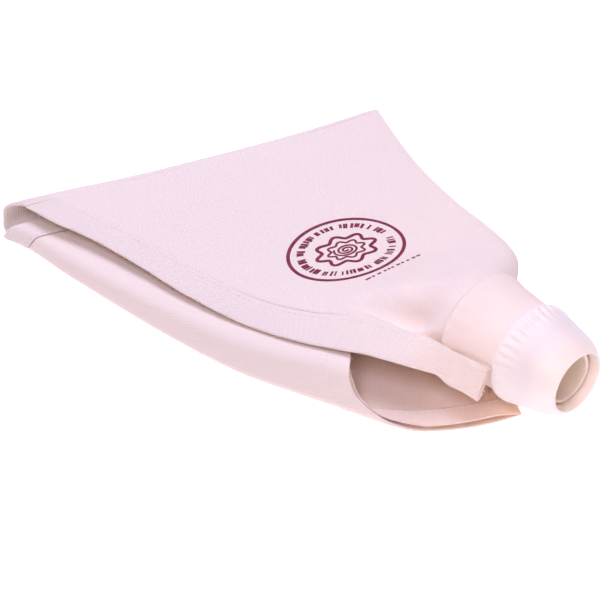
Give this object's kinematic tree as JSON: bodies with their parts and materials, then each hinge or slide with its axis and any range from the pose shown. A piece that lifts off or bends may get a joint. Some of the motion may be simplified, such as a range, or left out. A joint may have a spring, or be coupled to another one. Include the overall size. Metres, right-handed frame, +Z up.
{
  "type": "piping bag",
  "caption": "Laminated cotton piping bag, folded flat for storage, with a screwed plastic coupler in its neck for swapping icing nozzles.",
  "frame": {"origin": "centre of the footprint's bounding box, on the surface that the folded bag lies on", "axes": "+X along the bag's centre line, out of the coupler's nose; +Z up; the seam is on the -Y side"},
  "size_m": [0.2411, 0.1646, 0.0431],
  "materials": {
    "cloth": "laminated cotton twill, matt, cream with a faint pink cast",
    "sewing_thread": "white cotton thread, matt",
    "coupler_plastic": "translucent milky polypropylene, satin"
  },
  "bodies": {
    "mouth_half": {"mouth_half_cloth": "cloth", "mouth_seam_fell": "cloth", "fold_web_cloth": "cloth", "mouth_seam_thread": "sewing_thread", "mouth_hem_thread": "sewing_thread"},
    "tip_half": {"tip_half_cloth": "cloth", "tip_seam_fell": "cloth", "tip_seam_thread": "sewing_thread"},
    "ring_nut": {"coupler_ring": "coupler_plastic"},
    "coupler_base": {"coupler_base": "coupler_plastic"}
  },
  "joints": [
    {"name": "bag_fold", "type": "hinge", "parent": "mouth_half", "child": "tip_half", "pos_m": [-0.12746, -0.07717, 0.00715], "axis": [-0.3592, -0.9331, 0.0164], "range_deg": [0, 165], "deforming": ["fold_web_cloth"]},
    {"name": "ring_turn", "type": "hinge", "parent": "tip_half", "child": "ring_nut", "pos_m": [0.09399, 0.00856, 0.0226], "axis": [0.9976, 0, 0.0698], "range_deg": [0, 360]},
    {"name": "base_travel", "type": "slide", "parent": "tip_half", "child": "coupler_base", "axis": [0.9976, 0, 0.0698], "range_m": [-0.004, 0]}
  ],
  "couplings": [
    {"joint": "base_travel", "follows": "ring_turn", "m_per_rad": -0.000636}
  ]
}
